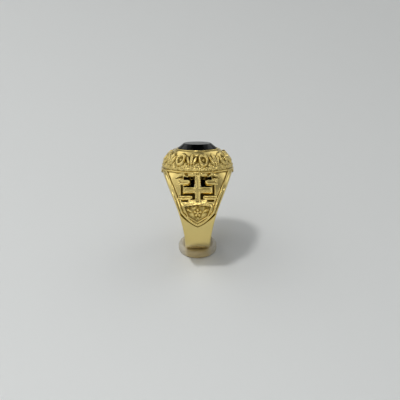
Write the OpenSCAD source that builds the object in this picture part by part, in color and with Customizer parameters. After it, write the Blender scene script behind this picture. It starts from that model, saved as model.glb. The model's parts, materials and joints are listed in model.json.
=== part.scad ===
/* [Finger hole] */
// Diameter of the finger hole
bore_d = 19; // [18.8:0.1:19.2]

/* [Band] */
// Thickness of the plain band at its lowest point
band_t = 1.5; // [1.4:0.1:1.7]
// Width of the plain band at its lowest point
band_w = 6.6; // [6.4:0.1:6.8]
// Width of the shoulders where they meet the head
shoulder_w = 18.2; // [18:0.1:18.3]
// How far the shoulders stand out past the band's circle where they meet the head
flare = 1.3; // [1.2:0.1:1.4]

/* [Shoulder panels] */
// Height of the borders and bars above the plain band
relief = 0.5; // [0.4:0.05:0.6]
// Height of the borders and bars above the panel's ground
line_relief = 0.2; // [0.15:0.05:0.25]
// Depth of the channels round the bars, below the plain band
channel_depth = 0.45; // [0.3:0.05:0.6]
// Width of the upright post
post_w = 1.57; // [1.4:0.01:1.7]
// Length of the cross arm
arm_l = 7.6; // [7.4:0.1:7.8]

/* [Head] */
// Length of the head along the finger, over its beads
head_l = 18.8; // [18.6:0.1:19]
// Width of the head across the finger, over its beads
head_w = 16.4; // [16.2:0.1:16.6]
// Height of the head's widest line above the middle of the finger hole
head_z = 10.35; // [10.3:0.05:10.5]
// Height of the rim round the stone above the middle of the finger hole
rim_z = 15.5; // [15.3:0.1:15.7]
// Thickness of the plain rim round the stone
rim_t = 0.42; // [0.38:0.02:0.5]
// Number of motifs in the frieze round the head
motifs = 16; // [14:2:16]

/* [Stone] */
// Length of the stone along the finger
stone_l = 10; // [9.9:0.1:10.1]
// Width of the stone across the finger
stone_w = 8; // [7.9:0.1:8.1]
// Height of the crown from the girdle to the table
crown_h = 1.2; // [1:0.1:1.3]
// Gap between the stone and its seat
seat_gap = 0.06; // [0.05:0.01:0.08]

/* [Foot] */
// Diameter of the clear foot
foot_d = 10; // [9.8:0.1:10.4]
// Height of the clear foot
foot_h = 2.3; // [2.2:0.05:2.5]
// How far the band sinks into the foot
foot_sink = 0.3; // [0.25:0.05:0.4]
// How far the foot's middle stands in front of the middle of the finger hole
foot_forward = 0.4; // [0:0.1:0.5]
// Gap between the band and the foot
foot_gap = 0.06; // [0.05:0.01:0.08]
// How far the ring is rolled back on its foot, in degrees
roll_back = 19.5; // [0:0.5:22]

/* [Hidden] */

bore_r = bore_d / 2;
band_r = bore_r + band_t;
axis_z = foot_h - foot_sink + band_r;
// the hoop's inner edge lies inside the finger hole, which then trims it
core_in = 0.8;
core_r = bore_r - core_in;

// angles run round the finger hole from the band's lowest point, in degrees
head_a = 141;
step_a = 7.5;
// the hoop's flat top inside the head
top_z = 9.8;
// height at which the band starts to widen, and how fast the widening grows
taper_z = -9;
taper_power = 1.68;
// how far the shoulders are drawn in below their flare, so that they rise nearly flat
flat = 2.6;
// the shoulders' outside follows the head's oval at their top and is flat across lower down
oval_share = 0.93;
fall_share = 0.31;
fall_back = fall_share * head_w;
// the section: bevel on its edges, and places across it as shares of its half width
bevel = 0.35;
inner_s = [-0.75, -0.45, 0, 0.45, 0.75];

// how far the cutting shells reach past the hoop's sides
clear_of = 1;
// the panel's tip, and how fast its lower edge opens above the tip
tip_z = -3.4;
tip_open = 2.25;
border_w = 0.75;
panel_wide_z = 2.6;
panel_top = 12;
// steps in height along the panel's face and along its lower edge
face_step = 0.7;
outline_step = 0.5;
// window: its outer side, its top, and the outer end of its tapered corner
window_x = 3.6;
window_top = 9.1;
window_taper_x = 5.6;
// upper stubs: height of the middle line, thickness, and distance of the tips from the middle
stub_z = 7.95;
stub_t = 1.35;
stub_x = 1.9;
// cross arm: underside and top, and the channel round its end
arm_z = [4.95, 6.55];
channel_w = 0.55;
frame_x = arm_l / 2 + channel_w;
// how far shapes of two depths overlap, so that none of their walls meet edge on
lap = 0.05;
// lower stubs: underside, and distance of the tips from the middle
low_stub_z = 3.55;
low_stub_x = 1.25;
slit_z = [3.05, 3.32];
slit_x = [2.6, 4.2];
// arched bar over the shield, and the shield's corners from its top left round to its tip
arch_z = 2.05;
arch_t = 0.5;
arch_half = 3.7;
arch_rise = 0.35;
shield = [[3.25, 1.55], [2.33, -0.45], [0, -1.9]];
groove_w = 0.2;
frame_t = 0.3;
// five petals round a middle one, between two side leaves
flower_z = 0.2;
flower_r = 0.75;
petal_r = 0.33;
side_leaf = [2.05, 0.75];
side_leaf_size = [0.75, 0.26];
side_leaf_turn = 25;

// head: rows of its outside, from the lower lip to the rim
lip_drop = 0.75;
lip_in = 0.35;
root_z = 8;
root_in = 1.3;
rim_h = 0.35;
// the dome's top edge outside the stone: the rim and a ledge beside it
ledge = 0.28;
dome_top = rim_t + ledge;
dome_rows = 7;
oval_sides = 48;
// small steps in angle and in share of the dome's height, for the dome's slope
slope_steps = [1, 0.01];
// frieze: height of the motifs' middle and of the beads, as a share of the dome's height
motif_u = 0.64;
bead_u = 0.2;
bead_r = 0.37;
bead_out = 0.2;
// rimmed oval: half width, half height and relief, thickness of its rim as a share, and the bead in it
oval_size = [1.15, 1.65, 1.3];
oval_rim = 0.26;
oval_bead_r = 0.4;
// palmette: half width, half height and relief of its leaves, and place and turn of the outer two
leaf_size = [0.42, 1.75, 0.42];
outer_leaf_size = [0.34, 1.35, 0.38];
outer_leaf = [0.84, -0.2];
outer_leaf_turn = 16;

// stone: girdle, pavilion and table
stone_sides = 32;
girdle_t = 0.3;
girdle_sink = 0.1;
base_drop = 2;
base_share = 0.62;
table_share = [0.71, 0.65];

// foot: radius of its lower and upper edges, and room beside the band in its trough
foot_low_edge = 0.6;
foot_edge = 1;
trough_side = 2 * foot_gap;

function shoulder(a) = max(0, min(1, (abs(a) - 90) / (head_a - 90)));
function path_r(a) = band_r + flare * pow(shoulder(a), 3) - flat * pow(shoulder(a), 2) * (1 - shoulder(a));
// half width of the band and shoulders at height z, and at angle a
function half_at(z) = band_w / 2 + (shoulder_w - band_w) / 2
    * min(1, pow(max(0, (z - taper_z) / (head_z - taper_z)), taper_power));
function half_w(a) = half_at(-path_r(a) * cos(a));
function oval_drop(s) = (1 - sqrt(1 - pow(oval_share * s, 2))) / (1 - sqrt(1 - pow(oval_share, 2)));

// a point of the hoop's outside, at angle a and share s of the half width, up mm above the plain band
function skin(a, s, up) = [
    s * half_w(a),
    -(path_r(a) + up) * sin(a) + sign(a) * fall(a) * oval_drop(min(1, abs(s))),
    min(top_z + up, -(path_r(a) + up) * cos(a))
];
function fall(a) = fall_back * pow(shoulder(a), 3) * min(1, sin(abs(a)) / sin(head_a));
function inside(a, side, wide) =
    let (e = skin(a, 1, 0), k = (core_r - wide) / norm([e.y, e.z]))
    [side * (half_w(a) + wide), k * e.y, k * e.z];
// half of a section, from its inner corner over its bevelled edge
function section_edge(a, up, wide, side) = [
    inside(a, side, wide),
    skin(a, side * (1 + wide / half_w(a)), up - bevel - wide),
    skin(a, side * (1 - bevel / half_w(a)), up)
];
function backwards(list) = [for (i = [len(list) - 1:-1:0]) list[i]];
function section(a, up, wide) = concat(
    section_edge(a, up, wide, -1),
    [for (s = inner_s) skin(a, s, up)],
    backwards(section_edge(a, up, wide, 1))
);

function oval_ring(half, z, sides) =
    [for (i = [0:sides - 1]) let (b = 360 * i / sides) [half.x * cos(b), half.y * sin(b), z]];
// half length and half width of the dome at share u of its height, and its height there
function dome_half(u) =
    let (low = [head_l, head_w] / 2 - [bead_out, bead_out], high = [stone_l, stone_w] / 2 + [dome_top, dome_top])
    low + (high - low) * u * u;
function dome_z(u) = head_z + (rim_z - rim_h - head_z) * u;
function on_dome(b, u) = [dome_half(u).x * cos(b), dome_half(u).y * sin(b), dome_z(u)];
function unit(v) = v / norm(v);

// faces between m rings of n points each, to ring 0 again where steps is m, then fans that close the ends
function side_faces(n, m, steps) = [
    for (k = [0:steps - 1], i = [0:n - 1])
    let (j = (i + 1) % n, p = k * n, q = (k + 1) % m * n)
    each [[p + i, q + j, p + j], [p + i, q + i, q + j]]
];
function first_fan(n) = [for (i = [1:n - 2]) [0, i, i + 1]];
function last_fan(n, p) = [for (i = [1:n - 2]) [p, p + i + 1, p + i]];

module loft(rings) {
    n = len(rings[0]);
    m = len(rings);
    polyhedron(
        [for (ring = rings) each ring],
        concat(side_faces(n, m, m - 1), first_fan(n), last_fan(n, (m - 1) * n))
    );
}

// closed hoop of band and shoulders, its outside up mm above the plain band, and wide mm wider each side
// a wider hoop has its sections half a step round, so that its edges cross none of the plain one's
module hoop(up, wide = 0) {
    first_a = wide > 0 ? step_a / 2 - 180 : -180;
    rings = [for (k = [0:360 / step_a - 1]) section(first_a + k * step_a, up, wide)];
    n = len(rings[0]);
    polyhedron([for (ring = rings) each ring], side_faces(n, len(rings), len(rings)));
}

// takes a drawing of the front view out of the hoop, down to up mm above the plain band
module sink(up) {
    difference() {
        through() children();
        hoop(up, clear_of);
    }
}

// carries a drawing of the front view through the whole ring
module through() {
    rotate([90, 0, 0]) linear_extrude(4 * band_r, center = true) children();
}

module both_sides() {
    children();
    mirror([1, 0]) children();
}

// the panel as it shows from the front, between the edges of the shoulders
module panel_face() {
    edge = [for (z = [tip_z:face_step:panel_top]) [min(half_at(z), tip_open * sqrt(z - tip_z)), z]];
    both_sides() polygon(concat(edge, [[0, edge[len(edge) - 1].y]]));
}

// the panel's lower edge, run out past the edges of the shoulders where it comes close to them
module panel_outline() {
    edge = [for (z = [tip_z:outline_step:panel_wide_z]) [tip_open * sqrt(z - tip_z), z]];
    both_sides() polygon(concat(edge, [[head_l, panel_wide_z], [head_l, panel_top], [0, panel_top]]));
}

module shield_outline() {
    both_sides() polygon([[0, shield[0].y + arch_rise], shield[0], shield[1], shield[2]]);
}

module arch_bar() {
    both_sides() polygon([
        [0, arch_z + arch_rise], [arch_half, arch_z], [arch_half, arch_z + arch_t],
        [0, arch_z + arch_t + arch_rise]
    ]);
}

module upper_stub() {
    translate([stub_x + stub_t / 2, stub_z]) circle(d = stub_t, $fn = 16);
    square_between([stub_x + stub_t / 2, stub_z - stub_t / 2], [frame_x + border_w, stub_z + stub_t / 2]);
}

module windows() {
    both_sides() difference() {
        square_between([post_w / 2, arm_z[1]], [window_x, window_top]);
        upper_stub();
    }
}

module channels() {
    both_sides() {
        square_between([arm_l / 2, arm_z[0] - channel_w], [frame_x, stub_z - stub_t / 2]);
        square_between([post_w / 2, arm_z[1]], [frame_x, stub_z - stub_t / 2]);
        square_between([post_w / 2, arm_z[0] - channel_w], [frame_x, arm_z[0]]);
        square_between([post_w / 2, low_stub_z], [low_stub_x, arm_z[0]]);
        square_between([slit_x[0], slit_z[0]], [slit_x[1], slit_z[1]]);
        polygon([
            [window_x - lap, stub_z + stub_t / 2], [window_x - lap, window_top],
            [window_taper_x, stub_z + stub_t / 2]
        ]);
    }
}

module shield_lines() {
    difference() {
        offset(delta = groove_w + frame_t) shield_outline();
        offset(delta = groove_w) shield_outline();
    }
    translate([0, flower_z]) {
        circle(petal_r, $fn = 8);
        for (b = [90:72:378]) rotate(b) translate([flower_r, 0]) circle(petal_r, $fn = 8);
    }
    both_sides() translate([side_leaf[0], side_leaf[1]]) rotate(side_leaf_turn)
        scale(side_leaf_size) circle(1, $fn = 8);
}

// bars, borders and flower that stand above the panel's ground, lapping a little over the channels
module raised_lines() {
    difference() {
        panel_outline();
        offset(delta = -border_w) panel_face();
    }
    arch_bar();
    shield_lines();
    both_sides() {
        square_between([0, arch_z], [post_w / 2 + lap, panel_top + clear_of]);
        square_between([0, arm_z[0] - lap], [arm_l / 2 + lap, arm_z[1] + lap]);
        offset(delta = lap) upper_stub();
        square_between([low_stub_x - lap, low_stub_z], [frame_x + border_w, arm_z[0] - channel_w + lap]);
        square_between([frame_x - lap, low_stub_z], [frame_x + border_w, stub_z]);
    }
}

module square_between(low, high) {
    translate(low) square(high - low);
}

module lowered_ground() {
    difference() {
        panel_outline();
        raised_lines();
    }
}

module around_panel() {
    difference() {
        translate([-head_l, -2 * band_r]) square([2 * head_l, 4 * band_r]);
        panel_outline();
    }
}

module shoulders() {
    difference() {
        hoop(relief);
        sink(0) around_panel();
        sink(relief - line_relief) lowered_ground();
        sink(-channel_depth) union() {
            channels();
            windows();
        }
        through() offset(delta = -lap) windows();
    }
}

// turns a shape that stands on the XY plane, with its top towards +Y, to lie on the dome
module place_on_dome(b, u) {
    along = unit(on_dome(b + slope_steps[0], u) - on_dome(b - slope_steps[0], u));
    up = unit(on_dome(b, u + slope_steps[1]) - on_dome(b, u - slope_steps[1]));
    out = cross(along, up);
    p = on_dome(b, u);
    multmatrix([
        [along.x, up.x, out.x, p.x],
        [along.y, up.y, out.y, p.y],
        [along.z, up.z, out.z, p.z]
    ]) children();
}

module rimmed_oval() {
    scale(oval_size) rotate_extrude($fn = 12) translate([1 - oval_rim, 0]) circle(oval_rim, $fn = 6);
    sphere(oval_bead_r, $fn = 8);
}

module palmette() {
    scale(leaf_size) sphere(1, $fn = 8);
    for (side = [-1, 1]) translate([side * outer_leaf.x, outer_leaf.y]) rotate(-side * outer_leaf_turn)
        scale(outer_leaf_size) sphere(1, $fn = 8);
}

// ovals and palmettes by turns, with a bead below each gap between them
module frieze() {
    for (i = [0:motifs - 1]) {
        place_on_dome(360 * (i + 0.5) / motifs, motif_u)
            if (i % 2 == 0) rimmed_oval(); else palmette();
        place_on_dome(360 * i / motifs, bead_u) sphere(bead_r, $fn = 8);
    }
}

module head() {
    low = dome_half(0) - [lip_in, lip_in];
    rim = [stone_l / 2 + rim_t, stone_w / 2 + rim_t];
    loft(concat(
        [
            oval_ring(low - [root_in, root_in], root_z, oval_sides),
            oval_ring(low, head_z - lip_drop, oval_sides)
        ],
        [for (i = [0:dome_rows]) oval_ring(dome_half(i / dome_rows), dome_z(i / dome_rows), oval_sides)],
        [oval_ring(rim, rim_z - rim_h, oval_sides), oval_ring(rim, rim_z, oval_sides)]
    ));
}

// rings of the stone's pavilion and girdle, grown by gap on every side for its seat
function lower_stone(gap) =
    let (half = [stone_l / 2 + gap, stone_w / 2 + gap], z = rim_z - girdle_sink) [
        oval_ring(base_share * half, z - girdle_t - base_drop - gap, stone_sides),
        oval_ring(half, z - girdle_t - gap, stone_sides),
        oval_ring(half, z + (gap > 0 ? crown_h : 0), stone_sides)
    ];

// carries what is drawn round the middle of the finger hole to its place over the foot
module rolled() {
    translate([0, 0, axis_z]) rotate([-roll_back, 0, 0]) children();
}

// three facets of the crown for each side of the table
module onyx_stone() {
    n = stone_sides;
    sides = n / 2;
    table_z = rim_z - girdle_sink + crown_h;
    table = oval_ring([stone_l / 2 * table_share[0], stone_w / 2 * table_share[1]], table_z, sides);
    facets = [
        for (i = [0:sides - 1])
        let (g = 2 * n + 2 * i, k = 2 * n + (2 * i + 2) % n, t = 3 * n + i, v = 3 * n + (i + 1) % sides)
        each [[g, t, g + 1], [t, v, g + 1], [g + 1, v, k]]
    ];
    color("black") rolled() polyhedron(
        concat([for (ring = lower_stone(0)) each ring], table),
        concat(side_faces(n, 3, 2), first_fan(n), facets, [[for (i = [sides - 1:-1:0]) 3 * n + i]])
    );
}

module ring_body() {
    color("goldenrod") rolled() difference() {
        resize([head_l, 0, 0]) difference() {
            union() {
                shoulders();
                head();
                frieze();
            }
            loft(lower_stone(seat_gap));
        }
        rotate([0, 90, 0]) cylinder(2 * head_l, bore_r, bore_r, center = true, $fn = 96);
    }
}

module clear_foot() {
    r = foot_d / 2;
    color("lightgray") difference() {
        translate([0, -foot_forward, 0]) rotate_extrude($fn = 72) difference() {
            union() {
                square([r - foot_low_edge, foot_h / 2]);
                translate([0, foot_h / 2]) square([r - foot_edge, foot_h / 2]);
                translate([0, foot_low_edge]) square([r, foot_h - foot_low_edge - foot_edge]);
                translate([r - foot_low_edge, foot_low_edge]) circle(foot_low_edge, $fn = 32);
                translate([r - foot_edge, foot_h - foot_edge]) circle(foot_edge, $fn = 32);
            }
            translate([-r, 0]) square([r, foot_h]);
        }
        intersection() {
            translate([0, 0, axis_z]) rotate([0, 90, 0])
                cylinder(2 * r, band_r + foot_gap, band_r + foot_gap, center = true, $fn = 96);
            cube([band_w + 2 * trough_side, 2 * foot_d, 2 * foot_h], center = true);
        }
    }
}

ring_body();
onyx_stone();
clear_foot();
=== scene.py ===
import json
import math

import bpy
import numpy as np
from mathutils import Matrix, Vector


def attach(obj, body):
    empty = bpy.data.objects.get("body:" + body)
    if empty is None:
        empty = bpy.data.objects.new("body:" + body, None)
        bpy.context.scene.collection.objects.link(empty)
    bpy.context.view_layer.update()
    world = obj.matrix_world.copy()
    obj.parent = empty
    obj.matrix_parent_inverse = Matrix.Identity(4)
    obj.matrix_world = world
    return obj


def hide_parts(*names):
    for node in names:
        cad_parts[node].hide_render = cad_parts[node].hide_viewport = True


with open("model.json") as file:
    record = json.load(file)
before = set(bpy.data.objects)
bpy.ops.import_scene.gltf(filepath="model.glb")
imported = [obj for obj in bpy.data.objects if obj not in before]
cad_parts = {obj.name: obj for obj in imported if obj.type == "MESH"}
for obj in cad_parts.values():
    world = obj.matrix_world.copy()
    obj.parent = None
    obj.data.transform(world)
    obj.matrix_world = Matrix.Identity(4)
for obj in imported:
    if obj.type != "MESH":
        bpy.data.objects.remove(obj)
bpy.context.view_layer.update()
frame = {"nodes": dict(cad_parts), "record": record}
print("frame loaded:", ", ".join(sorted(frame["nodes"])))

# everything is worked out in the ring's own frame, in mm, with the middle of the finger hole at 0:
# x runs along the finger, the front is -y and the stone is up; angles run from the band's lowest point
fingerHole = next(m for m in frame["record"]["mounts"] if m["name"] == "finger_hole")
mm = 0.001
boreRadius = fingerHole["dims"]["r_mm"]
axisHeight = fingerHole["pos_m"][2] / mm
rollBack = math.radians(19.5)      # the ring leans back on its foot
roundSides = 256                   # sides of the plain round cutters


def toRow(points):
    # ring frame in mm to the row frame in metres: turned back about the finger's axis, then raised
    x, y, z = np.moveaxis(np.asarray(points, float), -1, 0)
    turnedY = y * math.cos(rollBack) + z * math.sin(rollBack)
    turnedZ = z * math.cos(rollBack) - y * math.sin(rollBack) + axisHeight
    return np.stack([x, turnedY, turnedZ], -1) * mm


def smooth(t):
    # smooth step from 0 at t = 0 to 1 at t = 1
    t = np.clip(t, 0, 1)
    return t * t * (3 - 2 * t)


def within(distance, soft):
    # 1 inside a shape and 0 outside it, with a soft edge; distance is negative inside
    return smooth(0.5 - distance / soft)


def bump(distance, radius):
    # rounded ridge or bead: a half circle of height 1 over the given radius
    return np.sqrt(np.clip(1 - (distance / radius) ** 2, 0, 1))


def boxDistance(x, z, low, high, corner=0.0):
    # signed distance to an upright rectangle with rounded corners, from its lowest to its highest corner
    dx = np.abs(x - (low[0] + high[0]) / 2) - (high[0] - low[0]) / 2 + corner
    dz = np.abs(z - (low[1] + high[1]) / 2) - (high[1] - low[1]) / 2 + corner
    outside = np.hypot(np.maximum(dx, 0), np.maximum(dz, 0))
    return outside + np.minimum(np.maximum(dx, dz), 0) - corner


def rodDistance(x, z, tipX, middleZ, thickness):
    # signed distance to a level bar with a round tip at tipX, running outwards without end
    r = thickness / 2
    return np.hypot(np.minimum(x - tipX - r, 0), z - middleZ) - r


def lineDistance(x, z, a, b):
    # signed distance to the line through a and b, positive on its left
    ax, az = b[0] - a[0], b[1] - a[1]
    return (ax * (z - a[1]) - az * (x - a[0])) / math.hypot(ax, az)


def leafDistance(x, z, half):
    # signed distance to an upright leaf: the shape that two circles share
    wide, high = half
    big = (wide ** 2 + high ** 2) / (2 * wide)
    return np.hypot(np.abs(x) + big - wide, z) - big


def ripples(points, size, seed):
    # soft unevenness from -1 to 1: a sum of sine waves in seeded directions, about size mm long
    rng = np.random.default_rng(seed)
    total = np.zeros(points.shape[:-1])
    waves = 9
    for _ in range(waves):
        way = rng.normal(size=3)
        way *= 2 * math.pi / (size * rng.uniform(0.7, 1.6)) / np.linalg.norm(way)
        total += np.sin(points @ way + rng.uniform(0, 2 * math.pi))
    return total / math.sqrt(waves)


def grains(p, q, spacing, seed):
    # stippled ground: bumps of height 0 to 1 round seeded points, one in each square of the spacing
    rng = np.random.default_rng(seed)
    count = 64
    shiftP, shiftQ = rng.uniform(0.15, 0.85, (2, count, count))
    cellP, cellQ = np.floor(p / spacing).astype(int), np.floor(q / spacing).astype(int)
    nearest = np.full(p.shape, np.inf)
    for i in (-1, 0, 1):
        for j in (-1, 0, 1):
            cp, cq = cellP + i, cellQ + j
            dp = p / spacing - cp - shiftP[cp % count, cq % count]
            dq = q / spacing - cq - shiftQ[cp % count, cq % count]
            nearest = np.minimum(nearest, np.hypot(dp, dq))
    grainRadius = 0.6      # as a share of the spacing
    return bump(nearest, grainRadius)


def gridQuads(rows, cols, ringOfRings=False):
    # quads between neighbouring rows, each row closed on itself; a ring of rings is closed both ways
    r = np.arange(rows if ringOfRings else rows - 1)[:, None]
    c = np.arange(cols)[None, :]
    nextRow, nextCol = (r + 1) % rows, (c + 1) % cols
    corners = [r * cols + c, r * cols + nextCol, nextRow * cols + nextCol, nextRow * cols + c]
    return np.stack(corners, -1).reshape(-1, 4)


def makeMesh(name, points, faceLists):
    # a mesh from a list of points and arrays of faces, each array with faces of one size
    mesh = bpy.data.meshes.new(name)
    corners = np.concatenate([f.ravel() for f in faceLists])
    sizes = np.concatenate([np.full(len(f), f.shape[1]) for f in faceLists])
    mesh.vertices.add(len(points))
    mesh.vertices.foreach_set("co", np.ascontiguousarray(points, dtype=np.float32).ravel())
    mesh.loops.add(len(corners))
    mesh.loops.foreach_set("vertex_index", corners.astype(np.int32))
    mesh.polygons.add(len(sizes))
    mesh.polygons.foreach_set("loop_start", (np.cumsum(sizes) - sizes).astype(np.int32))
    mesh.update(calc_edges=True)
    mesh.validate()
    piece = bpy.data.objects.new(name, mesh)
    bpy.context.scene.collection.objects.link(piece)
    return piece


def closedBarrel(name, rings, low, high):
    # rings of points closed with a fan at each end: low and high are the two end points
    rows, cols = rings.shape[:2]
    points = np.concatenate([rings.reshape(-1, 3), [low, high]])
    c = np.arange(cols)
    last = (rows - 1) * cols
    lowFan = np.stack([np.full(cols, rows * cols), (c + 1) % cols, c], -1)
    highFan = np.stack([np.full(cols, rows * cols + 1), last + c, last + (c + 1) % cols], -1)
    return makeMesh(name, points, [gridQuads(rows, cols), lowFan, highFan])


def lathe(radius, height, turn):
    # a profile of radius and height carried round the upright axis
    return np.stack(np.broadcast_arrays(
        radius[:, None] * np.cos(turn), radius[:, None] * np.sin(turn), height[:, None]), -1)


def makeRod(name, radius, half, sides):
    # plain round bar along x
    turn = np.arange(sides) * 2 * math.pi / sides
    rings = np.stack([np.stack([np.full(sides, x), radius * np.cos(turn), radius * np.sin(turn)], -1)
                      for x in (-half, half)])
    return closedBarrel(name, rings, [-half, 0, 0], [half, 0, 0])


def combine(piece, other, operation):
    # joins or cuts two closed shapes and deletes the second
    tool = piece.modifiers.new("combine", "BOOLEAN")
    tool.operation, tool.solver, tool.object = operation, "MANIFOLD", other
    depsgraph = bpy.context.evaluated_depsgraph_get()
    result = bpy.data.meshes.new_from_object(piece.evaluated_get(depsgraph))
    piece.modifiers.clear()
    old, piece.data = piece.data, result
    result.name = piece.name
    bpy.data.meshes.remove(old)
    bpy.data.objects.remove(other)


def getPoints(piece):
    # the mesh's points as rows of x, y and z
    points = np.empty(len(piece.data.vertices) * 3, dtype=np.float32)
    piece.data.vertices.foreach_get("co", points)
    return points.reshape(-1, 3).astype(float)


def setPoints(piece, points):
    piece.data.vertices.foreach_set("co", points.astype(np.float32).ravel())
    piece.data.update()


def addPointValues(piece, name, values):
    # one value for each point, under a name that a material reads
    attribute = piece.data.attributes.new(name, "FLOAT", "POINT")
    attribute.data.foreach_set("value", values.astype(np.float32))


def shadeSmooth(piece):
    piece.data.polygons.foreach_set("use_smooth", np.ones(len(piece.data.polygons), dtype=bool))


# band and shoulders: sizes in mm, angles in degrees
shank = {
    "bandThick": 1.5, "bandWide": 6.6, "shoulderWide": 18.75, "flare": 1.3, "flat": 2.6,
    "headAngle": 141, "taperFrom": -9.0, "taperTo": 10.35, "taperPower": 1.72,
    "ovalShare": 0.93, "fallBack": 5.08, "fallPower": 6, "topHeight": 9.8,
    # round edges on the band and on the shoulders, and the small one at the finger hole
    "edgeAcross": (0.45, 0.32), "edgeDeep": (0.32, 0.45), "edgeFrom": 62, "edgeOver": 30,
    "comfort": 0.3, "wallShare": 0.4, "reliefDrop": 1.2,
    # hand-worked unevenness, kept off the finger hole
    "uneven": 0.012, "unevenSize": 1.6, "unevenSeed": 3, "plainBore": 0.35,
    # points across a section and sections round the hoop
    "columns": 124, "boreColumns": 14, "bandRows": 48, "panelFrom": 66, "panelTo": 146, "rowStep": 0.6,
    "hiddenRows": 16,
}
bandRadius = boreRadius + shank["bandThick"]


def shoulderShare(a):
    # 0 below the middle of the ring, rising evenly to 1 at the head
    return np.clip((np.abs(a) - 90) / (shank["headAngle"] - 90), 0, 1)


def pathRadius(a):
    # plain circle below; above the middle it is drawn in and then flares, so the shoulders rise nearly flat
    share = shoulderShare(a)
    return bandRadius + shank["flare"] * share ** 3 - shank["flat"] * share ** 2 * (1 - share)


def halfWidthAt(z):
    # half width of the band and shoulders at height z: it widens with a power of the height
    s = shank
    share = np.clip((z - s["taperFrom"]) / (s["taperTo"] - s["taperFrom"]), 0, 1)
    return s["bandWide"] / 2 + (s["shoulderWide"] - s["bandWide"]) / 2 * share ** s["taperPower"]


def skin(a, across, up):
    # point of the hoop's outside at angle a and a share of its half width, up mm above the plain band
    # near the head the outside follows the head's oval, so that its middle stands further out
    s = shank
    turn = np.radians(a)
    z = -pathRadius(a) * np.cos(turn)
    oval = s["ovalShare"]
    drop = (1 - np.sqrt(1 - (oval * np.minimum(np.abs(across), 1)) ** 2)) / (1 - math.sqrt(1 - oval ** 2))
    reach = np.minimum(1, np.sin(np.abs(turn)) / math.sin(math.radians(s["headAngle"])))
    fall = s["fallBack"] * shoulderShare(a) ** s["fallPower"] * reach
    radius = pathRadius(a) + up
    y = -radius * np.sin(turn) + np.sign(a) * fall * drop
    height = np.minimum(s["topHeight"] + up, -radius * np.cos(turn))
    return np.stack(np.broadcast_arrays(across * halfWidthAt(z), y, height), -1)


# relief of the two shoulder panels, as they show from the front: x from the middle, z upwards, in mm
panel = {
    # outline, and the heights of its levels above the plain band
    "tip": -3.4, "tipSlope": 0.4, "tipCurve": 0.095, "sideIn": 0.62, "inset": 0.06, "wallSoft": 0.2,
    "ground": 0.3, "high": 0.5, "ledge": 0.36, "ledgeFrom": 2, "ledgeOver": 4,
    # bars: soft walls and a groove along the middle
    "soft": 0.17, "barInset": 0.04, "grooveIn": 0.4, "grooveDeep": 0.36, "grooveSoft": 0.2,
    "postWide": 1.57, "postUp": 0.2, "postTop": 12, "armLong": 7.7, "arm": (4.95, 6.55), "armCorner": 0.12,
    "stub": 7.76, "stubThick": 1.38, "stubTip": 1.9, "lowStub": (3.55, 4.4), "lowStubTip": 1.25,
    "stubPast": 0.75, "baseBar": (2.62, 3.0), "baseLong": 4.1, "baseCorner": 0.1, "baseShare": 0.6,
    "arch": 2.05, "archThick": 0.5, "archHalf": 3.7, "archRise": 0.35,
    "railUp": 0.12, "railSag": 0.26, "railFrom": 0.8, "railLong": 2.9, "railEnd": 5.6, "railShare": 0.9,
    # shield with its flower and leaves
    "shield": ((3.05, 1.6), (2.2, -0.45), (0.0, -1.8)), "shieldLine": 0.2, "frameWide": 0.4,
    "shieldLineDeep": 0.3, "shieldLineInset": 0.02, "shieldLineSoft": 0.16,
    "shieldDeep": 0.28, "shieldInset": 0.05, "shieldSoft": 0.15,
    "flowerAt": 0.2, "flowerHigh": 0.42, "flowerMiddle": 0.95, "petalFrom": 0.74, "petal": 0.42,
    "leafAt": (2.0, 0.75), "leafSize": (0.8, 0.32), "leafTurn": 25, "leafShare": 0.9,
    # channels and slits
    "deep": -0.4, "shallow": -0.12, "shallowFrom": 2.0, "shallowOver": 1.6, "channelWide": 0.44,
    "channelGrow": 0.02, "channelSoft": 0.2, "lowStubIn": 0.45, "windowDrop": 0.3, "cornerFrom": 2.5,
    "slit": (3.05, 3.32), "slitX": (2.5, 4.2), "slitCorner": 0.1, "slitShare": 0.7,
    "slitGrow": 0.04, "slitSoft": 0.16,
    # border with its ridge, its notches and the fine lines beside it
    "borderWide": 0.62, "borderInset": 0.05, "borderSoft": 0.1,
    "ridgeShare": 0.22, "ridgeAt": 0.62, "ridgeHalf": 0.3,
    "notch": 0.5, "notchDeep": 0.13, "notchTop": 1.2, "notchAt": 0.36, "notchHalf": 0.22, "notchSoft": 0.16,
    "lineDeep": 0.28, "lineAt": 0.2, "lineHalf": 0.17, "lineSoft": 0.14, "lineTop": 6.6, "lineOver": 3,
    "tipLineShare": 0.35, "tipLineTo": -2.6, "tipLineOver": 2,
    "innerDeep": 0.14, "innerAt": 0.12, "innerHalf": 0.07,
    # windows, cut square to the leaning panel
    "windowX": 3.6, "windowTop": 9.42, "windowTaper": 5.6, "windowInset": 0.06, "windowUp": 0.1,
    "windowSag": 0.28, "sagSteps": 14, "tipSteps": 18, "lean": 0.185, "at": 9.6,
}
channelEnd = panel["armLong"] / 2 + panel["channelWide"]
shieldOut = panel["shieldLine"] + panel["frameWide"]
stubLow, stubHigh = panel["stub"] - panel["stubThick"] / 2, panel["stub"] + panel["stubThick"] / 2
pastMiddle = -1      # x is never negative, so a box from here has no edge at the middle


def panelDistance(x, z, sideDistance):
    # signed distance to the panel's outline: a pointed lower edge, and the shoulder's two sides
    p = panel
    lower = p["tip"] + p["tipSlope"] * x + p["tipCurve"] * x ** 2 - z
    slope = p["tipSlope"] + 2 * p["tipCurve"] * x
    return np.maximum(lower / np.sqrt(1 + slope ** 2), sideDistance + p["sideIn"])


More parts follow.
